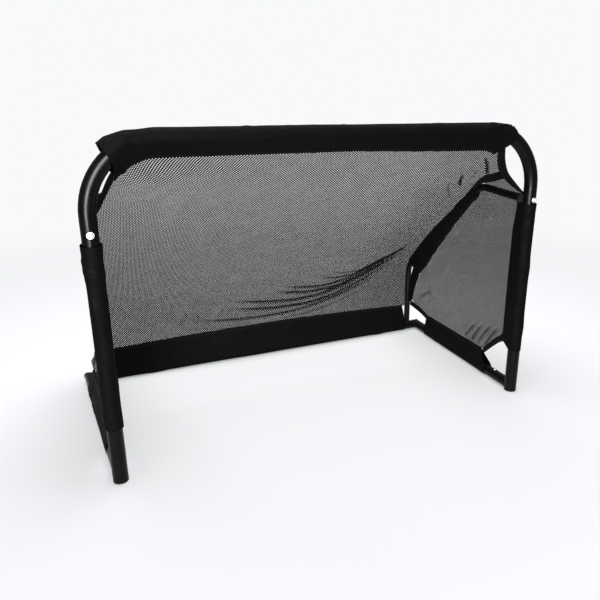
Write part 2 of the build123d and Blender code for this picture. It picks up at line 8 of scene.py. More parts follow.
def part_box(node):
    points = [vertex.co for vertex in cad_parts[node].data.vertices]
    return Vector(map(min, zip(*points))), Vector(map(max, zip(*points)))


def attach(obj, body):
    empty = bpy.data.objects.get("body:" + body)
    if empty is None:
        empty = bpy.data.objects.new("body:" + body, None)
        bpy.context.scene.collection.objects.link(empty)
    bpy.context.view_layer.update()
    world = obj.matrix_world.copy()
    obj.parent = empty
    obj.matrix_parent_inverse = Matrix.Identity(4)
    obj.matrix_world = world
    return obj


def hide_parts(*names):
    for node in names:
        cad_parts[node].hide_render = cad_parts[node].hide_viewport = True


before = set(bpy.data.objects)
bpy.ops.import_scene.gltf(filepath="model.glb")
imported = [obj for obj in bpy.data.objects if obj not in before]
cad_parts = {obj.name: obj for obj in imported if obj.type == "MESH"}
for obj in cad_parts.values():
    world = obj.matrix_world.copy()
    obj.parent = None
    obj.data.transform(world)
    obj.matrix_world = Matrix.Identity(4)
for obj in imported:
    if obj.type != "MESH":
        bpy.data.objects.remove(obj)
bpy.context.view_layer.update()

# ------------------------------------------------------------------ measures, in metres
BASE_SPLAY = 0.036            # each rear corner stands this much wider than its post
HOOP_BEND_R = 0.155
ARM_SHOULDER_BACK = 0.210     # the arm's upper bend behind the post
ARM_RISE = 0.016              # and above the bolt
ARM_KNEE_Z = 0.263
ARM_R = 0.011
CLOTH_T = 0.0007
LOOSE = 0.0022                # a sleeve stands this much off its tube
SNUG = 0.0012                 # and a tight one this much
HUG = 0.0010                  # and never comes nearer than this
SEAM_HALF = 0.0012            # half the thickness of a sleeve's sewn edge

CROSSBAR_REACH = 0.046        # tube axis to sewn edge
CROSSBAR_LEAN = math.radians(24)
POST_REACH = 0.054
RAIL_REACH = 0.066
RAIL_LEAN = math.radians(6)
REAR_REACH = 0.089
REAR_LIFT = 0.012             # the net pulls the rear sleeve up this much at mid-width
REAR_LEAN = math.radians(4)
REAR_HALF = 0.550
TAPE_WIDTH = 0.020

# Each net's holes: pitch along a row (the next row stands half a pitch over), radius at the top
# where the cloth is stretched, and radius lower down.
BACK_HOLES = (0.0072, 0.00138, 0.00102)
SIDE_HOLES = (0.0054, 0.00079, 0.00068)
WIDE_HOLES = (0.0072, 0.00235, 0.00235)
PINCH_CLOSES = 0.75           # share of a hole's radius that a full pinch takes away


def middle(node):
    low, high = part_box(node)
    return (low + high) / 2


cap_low, cap_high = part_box("right_foot_cap")
POST = middle("right_foot_cap")
POST_R = (cap_high.x - cap_low.x) / 2
BAR_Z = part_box("front_hoop")[1].z - POST_R
BAR_END = POST.x - HOOP_BEND_R
BOLT_Z = middle("arm_bolts").z
FOOT = middle("right_arm_peg")
REAR = middle("rear_base_bar")
RAIL_R = (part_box("rear_base_bar")[1].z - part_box("rear_base_bar")[0].z) / 2
DEPTH = REAR.y - POST.y
TOE_IN = POST.x - FOOT.x

SHOULDER = np.array([ARM_SHOULDER_BACK, BOLT_Z + ARM_RISE])
KNEE = np.array([DEPTH, ARM_KNEE_Z])
SLOPE_LENGTH = float(np.linalg.norm(KNEE - SHOULDER))
SLOPE = (KNEE - SHOULDER) / SLOPE_LENGTH
INWARD = np.array([SLOPE[1], -SLOPE[0]])


def arm_x(back):
    """Sideways place of the right arm, at a distance behind the post."""
    return POST.x - TOE_IN * back / DEPTH


def on_slope(along, off):
    """A point (back, up) on the arm's slanting run, off its axis towards the side net."""
    return SHOULDER + SLOPE * along + INWARD * off


# --------------------------------------------------------------------------- materials
class Paint:
    """A node material built step by step round one Principled shader."""

    def __init__(self, name, **settings):
        self.material = bpy.data.materials.new(name)
        self.material.use_nodes = True
        self.tree = self.material.node_tree
        self.shader = self.tree.nodes["Principled BSDF"]
        for key, value in settings.items():
            self.shader.inputs[key.replace("_", " ")].default_value = value

    def add(self, kind, links=None, **settings):
        node = self.tree.nodes.new(kind)
        for key, value in settings.items():
            setattr(node, key, value)
        for key, value in (links or {}).items():
            self.feed(node.inputs[key], value)
        return node

    def feed(self, socket, value):
        if isinstance(value, bpy.types.NodeSocket):
            self.tree.links.new(value, socket)
        else:
            socket.default_value = value

    def math(self, operation, a, b=0.0, c=0.0):
        node = self.add("ShaderNodeMath", {0: a, 1: b}, operation=operation)
        self.feed(node.inputs[2], c)
        return node.outputs[0]

    def coords(self, kind):
        return self.add("ShaderNodeTexCoord").outputs[kind]

    def noise(self, where, scale, detail=3.0, rough=0.5):
        return self.add("ShaderNodeTexNoise", {
            "Vector": where, "Scale": scale, "Detail": detail, "Roughness": rough,
        }).outputs["Fac"]

    def ramp(self, value, low, high):
        """A value from 0 to 1 turned into one from low to high."""
        return self.add("ShaderNodeMapRange", {
            "Value": value, "From Min": 0.3, "From Max": 0.7, "To Min": low, "To Max": high,
        }).outputs["Result"]

    def mix(self, value, first, second):
        """The first colour where value is 0, and the second where it is 1."""
        node = self.add("ShaderNodeMix", data_type="RGBA")
        self.feed(node.inputs["Factor"], value)
        self.feed(node.inputs["A"], first)
        self.feed(node.inputs["B"], second)
        return node.outputs["Result"]

    def tint(self, value, dark, light):
        return self.mix(value, (*dark, 1), (*light, 1))

    def bump(self, layers):
        """Bump layers as (height, strength, distance), coarse first."""
        normal = None
        for height, strength, distance in layers:
            node = self.add("ShaderNodeBump", {
                "Height": height, "Strength": strength, "Distance": distance,
            })
            if normal is not None:
                self.feed(node.inputs["Normal"], normal)
            normal = node.outputs["Normal"]
        self.feed(self.shader.inputs["Normal"], normal)

    def set(self, name, value):
        self.feed(self.shader.inputs[name], value)


def powder_coat(name, dark, light, rough, grain):
    p = Paint(name, Specular_IOR_Level=0.10)
    where = p.coords("Object")
    cloud = p.noise(where, 9.0)
    p.set("Base Color", p.tint(cloud, dark, light))
    p.set("Roughness", p.ramp(p.noise(where, 35.0, 4.0), rough - 0.05, rough + 0.06))
    p.bump([(p.noise(where, grain, 2.0), 0.10, 0.0004), (p.noise(where, grain * 3, 2.0), 0.06, 0.0002)])
    return p.material


def moulded_plastic():
    p = Paint("moulded_plastic", Specular_IOR_Level=0.35)
    where = p.coords("Object")
    p.set("Base Color", p.tint(p.noise(where, 30.0), (0.012, 0.012, 0.013), (0.022, 0.022, 0.023)))
    p.set("Roughness", p.ramp(p.noise(where, 120.0), 0.5, 0.62))
    p.bump([(p.noise(where, 2600.0, 2.0), 0.12, 0.0003)])
    return p.material


def plated_steel(name, light, rough):
    p = Paint(name, Metallic=1.0)
    where = p.coords("Object")
    dark = tuple(0.82 * c for c in light)
    p.set("Base Color", p.tint(p.noise(where, 160.0), dark, light))
    turned = p.add("ShaderNodeTexWave", {
        "Vector": where, "Scale": 420.0, "Distortion": 2.0, "Detail": 2.0,
    }, wave_type="RINGS", rings_direction="Y")
    p.set("Roughness", p.ramp(p.noise(where, 400.0), rough - 0.05, rough + 0.08))
    p.bump([(turned.outputs["Fac"], 0.05, 0.0002), (p.noise(where, 900.0), 0.06, 0.0002)])
    return p.material


def weave_height(p, where, pitch):
    """A plain weave's height over coordinates in metres."""
    split = p.add("ShaderNodeSeparateXYZ", {0: where})
    turn = 2 * math.pi / pitch
    warp = p.math("SINE", p.math("MULTIPLY", split.outputs[0], turn))
    weft = p.math("SINE", p.math("MULTIPLY", split.outputs[1], turn))
    return p.math("MULTIPLY_ADD", p.math("MULTIPLY", warp, weft), 0.5, 0.5)


def stitch_lines(p, where, rows, stitch, gap):
    """1 on dashed stitching that runs along x at each of the given y, in metres."""
    split = p.add("ShaderNodeSeparateXYZ", {0: where})
    dash = p.math("LESS_THAN", p.math("FRACT", p.math("DIVIDE", split.outputs[0], stitch + gap)),
                  stitch / (stitch + gap))
    total = None
    for y in rows:
        near = p.math("COMPARE", split.outputs[1], y, 0.0006)
        row = p.math("MULTIPLY", dash, near)
        total = row if total is None else p.math("MAXIMUM", total, row)
    return total


def sleeve_fabric():
    p = Paint("sleeve_fabric", Specular_IOR_Level=0.035)
    where = p.coords("UV")
    thread = stitch_lines(p, where, (0.004, 0.010), 0.0028, 0.0012)
    cloud = p.noise(where, 14.0, 4.0)
    cloth = p.tint(cloud, (0.0022, 0.0022, 0.0023), (0.0056, 0.0056, 0.0058))
    p.set("Base Color", p.mix(thread, cloth, (0.030, 0.030, 0.031, 1)))
    p.set("Roughness", p.ramp(p.noise(where, 45.0), 0.62, 0.78))
    p.bump([
        (p.noise(where, 26.0, 4.0, 0.55), 0.35, 0.004),
        (weave_height(p, where, 0.0009), 0.22, 0.0003),
        (thread, 0.5, 0.0005),
    ])
    return p.material


def net_mesh(name, holes):
    """A knitted net: round holes in staggered rows, seen through, with raised yarn between them.

    The holes close up where the mesh's pinch value says that the cloth is gathered."""
    pitch, wide, narrow = holes
    p = Paint(name, Specular_IOR_Level=0.05)
    where = p.coords("UV")
    split = p.add("ShaderNodeSeparateXYZ", {0: where})
    nearest = None
    for shift in (0.0, 0.5):
        parts = []
        for axis in (0, 1):
            cell = p.math("ADD", p.math("DIVIDE", split.outputs[axis], pitch), shift)
            off = p.math("MULTIPLY", p.math("SUBTRACT", p.math("FRACT", cell), 0.5), pitch)
            parts.append(p.math("MULTIPLY", off, off))
        reach = p.math("SQRT", p.math("ADD", *parts))
        nearest = reach if nearest is None else p.math("MINIMUM", nearest, reach)
    down = p.add("ShaderNodeMapRange", {
        "Value": split.outputs[1], "From Min": 0.15, "From Max": 0.80, "To Min": wide, "To Max": narrow,
    }).outputs["Result"]
    size = p.math("MULTIPLY", down, p.ramp(p.noise(where, 22.0), 0.96, 1.04))
    pinch = p.add("ShaderNodeAttribute", attribute_name="pinch").outputs["Fac"]
    size = p.math("MULTIPLY", size, p.math("SUBTRACT", 1.0, p.math("MULTIPLY", pinch, PINCH_CLOSES)))
    p.set("Alpha", p.math("GREATER_THAN", nearest, size))
    p.set("Base Color", p.tint(p.noise(where, 16.0), (0.005, 0.005, 0.005), (0.010, 0.010, 0.010)))
    p.set("Roughness", p.ramp(p.noise(where, 300.0), 0.68, 0.82))
    p.bump([(p.math("DIVIDE", nearest, pitch), 0.5, 0.0008), (p.noise(where, 3000.0), 0.3, 0.0002)])
    return p.material


def binding_tape():
    p = Paint("binding_tape", Specular_IOR_Level=0.04)
    where = p.coords("UV")
    thread = stitch_lines(p, where, (0.0025, TAPE_WIDTH - 0.0025), 0.0026, 0.0012)
    split = p.add("ShaderNodeSeparateXYZ", {0: where})
    rib = p.math("SINE", p.math("MULTIPLY", split.outputs[0], 2 * math.pi / 0.0012))
    cloud = p.noise(where, 60.0)
    cloth = p.tint(cloud, (0.0028, 0.0028, 0.0029), (0.0060, 0.0060, 0.0062))
    p.set("Base Color", p.mix(thread, cloth, (0.04, 0.04, 0.042, 1)))
    p.set("Roughness", p.ramp(p.noise(where, 200.0), 0.6, 0.75))
    p.bump([(rib, 0.4, 0.0003), (p.noise(where, 70.0), 0.3, 0.001)])
    return p.material


TUBE = powder_coat("powder_coat", (0.0030, 0.0031, 0.0034), (0.0060, 0.0062, 0.0068), 0.30, 1500.0)
INNER_TUBE = powder_coat("inner_powder_coat", (0.012, 0.012, 0.013), (0.02, 0.02, 0.021), 0.42, 1500.0)
BEAD = powder_coat("weld_bead_coat", (0.010, 0.010, 0.011), (0.018, 0.018, 0.019), 0.36, 420.0)
PLASTIC = moulded_plastic()
ZINC = plated_steel("zinc_plate", (0.88, 0.88, 0.90), 0.28)
PLAIN_STEEL = plated_steel("plain_steel", (0.55, 0.55, 0.56), 0.35)
SPRING = plated_steel("spring_steel", (0.30, 0.30, 0.33), 0.3)
FABRIC = sleeve_fabric()
NET = net_mesh("back_net_mesh", BACK_HOLES)
SIDE_NET = net_mesh("side_net_mesh", SIDE_HOLES)
TIGHT_NET = net_mesh("stretched_net_mesh", WIDE_HOLES)
TAPE = binding_tape()

CAD_LOOKS = {
    TUBE: ["front_hoop", "left_base_rail", "right_base_rail", "rear_base_bar",
           "left_support_arm", "right_support_arm"],
    INNER_TUBE: ["left_rail_stub", "right_rail_stub", "left_arm_peg", "right_arm_peg"],
    BEAD: ["corner_welds", "stub_welds", "peg_welds"],
    PLASTIC: ["left_foot_cap", "right_foot_cap", "left_arm_saddle", "right_arm_saddle"],
    ZINC: ["arm_bolts", "arm_bolt_washers", "left_snap_button", "right_snap_button"],
    PLAIN_STEEL: ["arm_thread_inserts"],
    SPRING: ["left_spring_clip", "right_spring_clip"],
}
for look, names in CAD_LOOKS.items():
    for node_name in names:
        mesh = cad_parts[node_name].data
        mesh.materials.clear()
        mesh.materials.append(look)


# ------------------------------------------------------------------------ cloth helpers
def ease(x):
    x = np.clip(x, 0, 1)
    return x * x * (3 - 2 * x)


def drift(a, b, seed):
    """Smooth noise from -1 to 1 at each pair of coordinates."""
    a, b = np.broadcast_arrays(a, b)
    flat = [noise.noise(Vector((x, y, seed))) for x, y in zip(a.ravel(), b.ravel())]
    return np.array(flat).reshape(a.shape)


def creases(a, b, seed):
    """0 almost everywhere, rising to 1 along a few wandering sharp lines."""
    wander = drift(a * 0.6, b * 0.6, seed + 7)
    line = 1 - np.abs(drift(a + wander, b + wander, seed)) * 5
    return np.clip(line, 0, 1) ** 1.5 * ease(drift(a * 0.5, b * 0.5, seed + 3) * 2.5 + 0.4)


def smooth_line(points, count):
    """Points on a smooth curve through the given ones, equally spaced along it."""
    knots = np.array(points, float)
    padded = np.vstack([2 * knots[0] - knots[1], knots, 2 * knots[-1] - knots[-2]])
    fine = []
    steps = 24
    for k in range(len(knots) - 1):
        p0, p1, p2, p3 = padded[k:k + 4]
        for t in np.arange(steps) / steps:
            fine.append(0.5 * (2 * p1 + (p2 - p0) * t + (2 * p0 - 5 * p1 + 4 * p2 - p3) * t ** 2
                               + (3 * p1 - p0 - 3 * p2 + p3) * t ** 3))
    fine = np.array(fine + [knots[-1]])
    run = np.concatenate([[0], np.cumsum(np.linalg.norm(np.diff(fine, axis=0), axis=1))])
    want = np.linspace(0, run[-1], count)
    return np.stack([np.interp(want, run, fine[:, k]) for k in range(fine.shape[1])], axis=1)


def grid_normals(grid):
    down, across = np.gradient(grid, axis=0), np.gradient(grid, axis=1)
    normal = np.cross(across, down)
    return normal / np.maximum(np.linalg.norm(normal, axis=2, keepdims=True), 1e-9)


def cloth_lengths(grid, closed=False):
    """Distance over the cloth along its rows and down its columns, at each point."""
    ring = np.concatenate([grid, grid[:, :1]], axis=1) if closed else grid
    across = np.linalg.norm(np.diff(ring, axis=1), axis=2)
    down = np.linalg.norm(np.diff(grid, axis=0), axis=2)
    u = np.concatenate([np.zeros((len(grid), 1)), np.cumsum(across, axis=1)], axis=1)
    v = np.concatenate([np.zeros((1, grid.shape[1])), np.cumsum(down, axis=0)], axis=0)
    return u, v


def cloth_mesh(name, grid, material, replaces, uv, closed=False, thick=CLOTH_T, pinch=None):
    """A sheet of quads over a grid of points. A closed one joins its last column to its first."""
    rows, columns = grid.shape[:2]
    mesh = bpy.data.meshes.new(name)
    index = np.arange(rows * columns).reshape(rows, columns)
    right = np.roll(index, -1, axis=1)
    if not closed:
        index, right = index[:, :-1], right[:, :-1]
    quads = np.stack([index[:-1], right[:-1], right[1:], index[1:]], axis=-1).reshape(-1, 4)
    mesh.from_pydata(grid.reshape(-1, 3).tolist(), [], quads.tolist())
    wide = uv.shape[1]
    place = np.arange(rows * wide).reshape(rows, wide)
    corners = np.stack([place[:-1, :-1], place[:-1, 1:], place[1:, 1:], place[1:, :-1]], axis=-1)
    layer = mesh.uv_layers.new(name="cloth")
    layer.data.foreach_set("uv", uv.reshape(-1, 2)[corners.reshape(-1)].astype(np.float32).ravel())
    if pinch is not None:
        gathered = mesh.attributes.new("pinch", "FLOAT", "POINT")
        gathered.data.foreach_set("value", pinch.astype(np.float32).ravel())
    mesh.materials.append(material)
    mesh.shade_smooth()
    piece = bpy.data.objects.new(name, mesh)
    bpy.context.scene.collection.objects.link(piece)
    if thick:
        solid = piece.modifiers.new("thickness", "SOLIDIFY")
        solid.thickness = thick
        solid.offset = 0
    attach(piece, "root")
    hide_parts(*replaces)
    return piece


def mirrored(grid):
    flipped = grid.copy()
    flipped[..., 0] *= -1
    return flipped[:, ::-1]


def pear_ring(radius, reach, count):
    """A sleeve's section as (across, along) with the sewn edge at -along, first and last there."""
    slant = (radius - SEAM_HALF) / reach
    side = math.sqrt(1 - slant * slant)
    start = math.asin(-slant)
    arc = np.linspace(start, math.pi - start, count // 2)
    big = np.stack([radius * np.cos(arc), radius * np.sin(arc)], axis=1)
    edge = np.array([SEAM_HALF * side, -reach])
    left_edge = np.array([-SEAM_HALF * side, -reach])
    runs = count // 4
    t = (np.arange(runs) / runs)[:, None]
    right = edge + (big[0] - edge) * t
    left = big[-1] + (left_edge - big[-1]) * ((np.arange(runs) + 1) / runs)[:, None]
    return np.concatenate([right, big, left])


def ring_grid(radius, reach, count):
    """Sections for each station, from radius and reach given per station."""
    return np.stack([pear_ring(r, d, count) for r, d in zip(radius, reach)])


def ring_normals(rings):
    tangent = np.gradient(rings, axis=1)
    normal = np.stack([tangent[..., 1], -tangent[..., 0]], axis=-1)
    return normal / np.maximum(np.linalg.norm(normal, axis=2, keepdims=True), 1e-9)


def keep_off(rings, centre_shift, tube_r):
    """Pushes section points out of the tube. centre_shift is the tube's axis in each section."""
    from_tube = rings - centre_shift[:, None]
    far = np.linalg.norm(from_tube, axis=2, keepdims=True)
    least = tube_r + HUG
    return np.where(far < least, centre_shift[:, None] + from_tube / np.maximum(far, 1e-9) * least, rings)


RING = 56


def sleeve(name, replaces, centre, across, away, rings, mirror=False):
    """A sleeve from sections placed at centre, with axes across and away (from the sewn edge)."""
    grid = centre + rings[..., :1] * across + rings[..., 1:] * away
    if mirror:
        grid[..., 0] *= -1
    u, v = cloth_lengths(grid, closed=True)
    around = np.minimum(u, u[:, -1:] - u)
    along = np.concatenate([v, v[:, :1]], axis=1)
    piece = cloth_mesh(name, grid, FABRIC, replaces, np.stack([along, around], axis=-1), closed=True)
    return piece


# ------------------------------------------------------------------- crossbar's sleeve
def hoop_line(s):
    """Centre and outward direction of the hoop's top, at distances from mid-width."""
    turn = np.clip(np.abs(s) - BAR_END, 0, None) / HOOP_BEND_R
    straight = np.clip(s, -BAR_END, BAR_END)
    side = np.sign(s)
    x = straight + side * HOOP_BEND_R * np.sin(turn)
    z = BAR_Z - HOOP_BEND_R * (1 - np.cos(turn))
    out = np.stack([side * np.sin(turn), np.zeros_like(s), np.cos(turn)], axis=-1)
    return np.stack([x, np.full_like(s, POST.y), z], axis=-1), out


def crossbar_sleeve():
    stations = 260
    t = np.linspace(0, 1, stations)[:, None]
    ring_share = np.abs(np.linspace(-1, 1, RING))[None, :]
    left_end = BAR_END + HOOP_BEND_R * (math.radians(40) + math.radians(14) * ring_share ** 2)
    right_wrap = math.radians(25) + math.radians(4) * np.sin(ring_share * math.pi)
    right_wrap = right_wrap - math.radians(3) * ring_share ** 4
    right_end = BAR_END + HOOP_BEND_R * right_wrap
    s = -left_end + (left_end + right_end) * t
    centre, out = hoop_line(s)
    mid_s = s[:, RING // 2]
    flare_left = ease((-mid_s - BAR_END - 0.035) / 0.075)
    flare_right = ease((mid_s - BAR_END - 0.005) / 0.065)
    swell = 0.0070 * flare_left + 0.0012 * flare_right
    radius = POST_R + LOOSE + swell
    reach = CROSSBAR_REACH + 0.004 * flare_left + 0.010 * ease(mid_s / 0.42) + 0.006 * flare_right
    rings = ring_grid(radius, reach, RING)
    angle = np.linspace(-1, 1, RING)[None, :] * np.ones_like(s)
    normal = ring_normals(rings)
    near_ends = 0.35 + 0.65 * np.maximum(ease((-s - 0.25) / 0.2), ease((s - 0.22) / 0.2))
    lift = 0.0011 * drift(s * 9, angle * 1.3, 1.0)
    lift = lift + 0.0052 * near_ends * creases(s * 9 + angle * 2.4, angle * 1.5 - s * 4, 11.0)
    rings = rings + normal * lift[..., None]
    back = np.array([0, 1, 0])
    shift = np.stack([np.zeros(stations), -swell], axis=-1)
    rings = keep_off(rings, shift, POST_R)
    rings[..., 1] += swell[:, None]
    away = out * math.cos(CROSSBAR_LEAN) - back * math.sin(CROSSBAR_LEAN)
    across = out * math.sin(CROSSBAR_LEAN) + back * math.cos(CROSSBAR_LEAN)
    return sleeve("crossbar_wrap", ["crossbar_sleeve"], centre, across, away, rings)


# ---------------------------------------------------------------------- post sleeves
def post_sleeve(side, top, bottom, flare, seed):
    stations = 150
    t = np.linspace(0, 1, stations)[:, None]
    angle = np.linspace(-1, 1, RING)[None, :]
    top_edge = top + 0.010 * angle ** 2
    bottom_edge = bottom + 0.019 * np.abs(angle) ** 3
    z = top_edge + (bottom_edge - top_edge) * t
    from_top = (top - z)[:, RING // 2]
    loose = flare * np.exp(-(from_top / 0.030) ** 2) + 0.0008 * np.exp(-(from_top / 0.15) ** 2)
    from_top_share = ease(from_top / 0.12)
    rings = ring_grid(POST_R + SNUG + loose, POST_REACH - 0.009 * (1 - from_top_share), RING)
    wave = angle * np.ones_like(z)
    lift = 0.0010 * drift(z * 10, wave * 1.2, seed)
    hoops = ease((0.10 - (top - z)) / 0.08)
    lift = lift + hoops * 0.0030 * creases(z * 34 + wave * 1.2, wave * 0.9, seed + 5)
    lift = lift + 0.0022 * creases(z * 6 + wave * 1.5, wave * 1.1 + z * 3, seed + 9)
    rings = rings + ring_normals(rings) * lift[..., None]
    rings = keep_off(rings, np.zeros((stations, 2)), POST_R)
    centre = np.stack([np.full_like(z, POST.x), np.full_like(z, POST.y), z], axis=-1)
    across, away = np.array([1.0, 0, 0]), np.array([0, -1.0, 0])
    return sleeve(f"{side}_post_wrap", [f"{side}_post_sleeve"], centre, across, away, rings,
                  mirror=side == "left")


# ------------------------------------------------------------------ base frame sleeves
def rail_line(y):
    """Centre of the right side rail at distances behind the post."""
    return np.stack([POST.x + BASE_SPLAY * y / DEPTH, POST.y + y, np.full_like(y, REAR.z)], axis=-1)


RAIL_FRONT = 0.118
RAIL_FRONT_TOP = 0.151
RAIL_BACK = 0.508


def rail_sleeve(side, seed):
    stations = 120
    t = np.linspace(0, 1, stations)[:, None]
    angle = np.linspace(-1, 1, RING)[None, :]
    front = RAIL_FRONT + (RAIL_FRONT_TOP - RAIL_FRONT) * ease((np.abs(angle) - 0.55) / 0.45)
    front = front + 0.003 * drift(angle * 4, angle * 0, seed)
    back = RAIL_BACK - 0.004 * np.abs(angle) ** 4
    y = front + (back - front) * t
    radius = np.full(stations, RAIL_R + SNUG)
    rings = ring_grid(radius, np.full(stations, RAIL_REACH), RING)
    wave = angle * np.ones_like(y)
    lift = 0.0009 * drift(y * 11, wave * 1.5, seed)
    lift = lift + 0.0016 * creases(y * 10 + wave * 1.2, wave * 1.6 - y * 5, seed + 4)
    rings = rings + ring_normals(rings) * lift[..., None]
    rings = keep_off(rings, np.zeros((stations, 2)), RAIL_R)
    rings[..., 1] = np.minimum(rings[..., 1], RAIL_R + HUG)
    away = np.array([math.sin(RAIL_LEAN), 0, -math.cos(RAIL_LEAN)])
    across = np.array([math.cos(RAIL_LEAN), 0, math.sin(RAIL_LEAN)])
    return sleeve(f"{side}_rail_wrap", [f"{side}_rail_sleeve"], rail_line(y), across, away, rings,
                  mirror=side == "left")


def rear_sleeve():
    stations = 240
    t = np.linspace(0, 1, stations)[:, None]
    angle = np.linspace(-1, 1, RING)[None, :]
    half = REAR_HALF + 0.010 - 0.016 * np.abs(angle) ** 2
    x = -half + 2 * half * t
    mid_x = x[:, RING // 2]
    reach = REAR_REACH + REAR_LIFT * (1 - (mid_x / REAR_HALF) ** 2)
    rings = ring_grid(np.full(stations, RAIL_R + SNUG), reach, RING)
    wave = angle * np.ones_like(x)
    hem = np.exp(-((np.abs(rings[..., 1] + 0.052) / 0.0022) ** 2))
    lift = 0.0012 * drift(x * 7, wave * 1.5, 31.0) + 0.0016 * hem
    lift = lift + 0.0024 * creases(x * 6 + wave, wave * 1.6 - x * 3, 35.0)
    rings = rings + ring_normals(rings) * lift[..., None]
    rings = keep_off(rings, np.zeros((stations, 2)), RAIL_R)
    rings[..., 1] = np.minimum(rings[..., 1], RAIL_R + HUG)
    centre = np.stack([x, np.full_like(x, REAR.y), np.full_like(x, REAR.z)], axis=-1)
    away = np.array([0, math.sin(REAR_LEAN), -math.cos(REAR_LEAN)])
    across = np.array([0, math.cos(REAR_LEAN), math.sin(REAR_LEAN)])
    return sleeve("rear_wrap", ["rear_bar_sleeve"], centre, across, away, rings)


# ------------------------------------------------------------------------- arm sleeves
ARM_SLEEVE_TOP = 0.028        # along the slanting run, from its upper end
ARM_SLEEVE_LOW = SLOPE_LENGTH - 0.040
ARM_SEAM_ALONG = [0.0, 0.144, 0.298, 0.427, 0.50]
ARM_SEAM_OFF = [0.0175, 0.024, 0.044, 0.062, 0.064]


def seam_off(along):
    return np.interp(along, ARM_SEAM_ALONG, ARM_SEAM_OFF)


def arm_sleeve(side, seed):
    stations = 150
    t = np.linspace(0, 1, stations)[:, None]
    angle = np.linspace(-1, 1, RING)[None, :]
    low = ARM_SLEEVE_LOW + 0.010 - 0.010 * np.abs(angle) ** 2
    along = ARM_SLEEVE_TOP + (low - ARM_SLEEVE_TOP) * t
    mid = along[:, RING // 2]
    puff = 0.0045 * np.exp(-((mid - 0.30) / 0.13) ** 2) + 0.0014
    rings = ring_grid(ARM_R + LOOSE + puff, seam_off(mid), RING)
    wave = angle * np.ones_like(along)
    lift = 0.0014 * drift(along * 14, wave * 1.4, seed)
    lift = lift + 0.0032 * creases(along * 13 + wave * 1.8, wave * 1.2 + along * 5, seed + 2)
    rings = rings + ring_normals(rings) * lift[..., None]
    shift = np.stack([np.zeros(stations), -puff], axis=-1)
    rings = keep_off(rings, shift, ARM_R)
    rings[..., 1] += puff[:, None]
    back = SHOULDER[0] + SLOPE[0] * along
    centre = np.stack([arm_x(back), POST.y + back, SHOULDER[1] + SLOPE[1] * along], axis=-1)
    away = np.array([0, -INWARD[0], -INWARD[1]])
    across = np.array([1.0, 0, 0])
    return sleeve(f"{side}_arm_wrap", [f"{side}_arm_sleeve"], centre, across, away, rings,
                  mirror=side == "left")


def plane_points(flat_grid, x):
    """Points (back, up) set upright at the given sideways places."""
    return np.stack([x, POST.y + flat_grid[..., 0], flat_grid[..., 1]], axis=-1)


def strip_between(first, second, rows, columns):
    """A grid from one smooth line to another."""
    a, b = smooth_line(first, rows), smooth_line(second, rows)
    t = np.linspace(0, 1, columns)[None, :, None]
    return a[:, None] + (b - a)[:, None] * t


def panel(name, replaces, grid, material, folds, thick=CLOTH_T, flip=False):
    """A flat piece of cloth with folds given as heights over its grid."""
    grid = grid + grid_normals(grid) * folds[..., None]
    if flip:
        grid = mirrored(grid)
    u, v = cloth_lengths(grid)
    piece = cloth_mesh(name, grid, material, replaces, np.stack([u, v], axis=-1), thick=thick)
    declare_sheet(grid)
    return piece


def declare_sheet(grid):
    """Works out a sheet's flat size and area from its own grid; nothing is done with them."""
    u, v = cloth_lengths(grid)
    a, b, c, d = grid[:-1, :-1], grid[:-1, 1:], grid[1:, 1:], grid[1:, :-1]
    area = 0.5 * (np.linalg.norm(np.cross(b - a, c - a), axis=2)
                  + np.linalg.norm(np.cross(c - a, d - a), axis=2)).sum()
    wide, long = float(u[:, -1].max()), float(v[-1].max())
    area = min(float(area), wide * long)


PANEL_TIP = (0.566, 0.128)     # (back, up) where the corner panel ends, on the rear hem


def corner_panel(side, seed):
    low = on_slope(ARM_SLEEVE_LOW - 0.012, seam_off(ARM_SLEEVE_LOW - 0.012) - 0.004)
    upper = on_slope(ARM_SLEEVE_LOW - 0.004, 0.012)
    front = [low, (low + np.array(PANEL_TIP)) / 2 + np.array([0.003, 0.002]), PANEL_TIP]
    rear = [upper, (DEPTH - 0.020, ARM_KNEE_Z - 0.028), (DEPTH - 0.013, 0.19), (DEPTH - 0.012, 0.118)]
    flat = strip_between(front, rear, 46, 18)
    x = arm_x(flat[..., 0])
    wave = np.linspace(0, 1, 46)[:, None] * np.ones((1, 18))
    cross = np.ones((46, 1)) * np.linspace(0, 1, 18)[None, :]
    folds = 0.003 * drift(cross * 3, wave * 1.2, seed) + 0.003 * creases(cross * 3.5, wave * 0.8, seed + 2)
    return panel(f"{side}_corner_flap", [f"{side}_corner_panel"], plane_points(flat, x), FABRIC, folds,
                 flip=side == "left")


# ---------------------------------------------------------------------------------- nets
def pleat(a, b, line, deep, wide):
    """A narrow fold along a smooth line, over coordinates a and b in metres."""
    points = smooth_line(line, 28)
    nearest = np.full(np.shape(a), 9.0)
    where = np.zeros(np.shape(a))
    for k in range(len(points) - 1):
        start, run = points[k], points[k + 1] - points[k]
        share = np.clip(((a - start[0]) * run[0] + (b - start[1]) * run[1]) / (run @ run), 0, 1)
        far = np.hypot(a - start[0] - share * run[0], b - start[1] - share * run[1])
        where = np.where(far < nearest, (k + share) / (len(points) - 1), where)
        nearest = np.minimum(nearest, far)
    taper = ease(where * 4) * ease((1 - where) * 4)
    return deep * taper * np.exp(-(nearest / wide) ** 2)


def fold_line(start, end, sag):
    """Points of a shallow arc from start to end that sags by the given vector at its middle."""
    steps = np.linspace(0, 1, 5)[:, None]
    arc = np.array(start) * (1 - steps) + np.array(end) * steps
    return arc + np.array(sag) * np.sin(math.pi * steps)


SHOULDER_FOLDS = 4             # creases that fan out below the right shoulder
SWAGS = 8                      # folds that hang one above another over the rear bar
CORNER_FOLDS = 4               # creases that rise from a side net's front lower corner
FOLD_WIDTH = 0.006


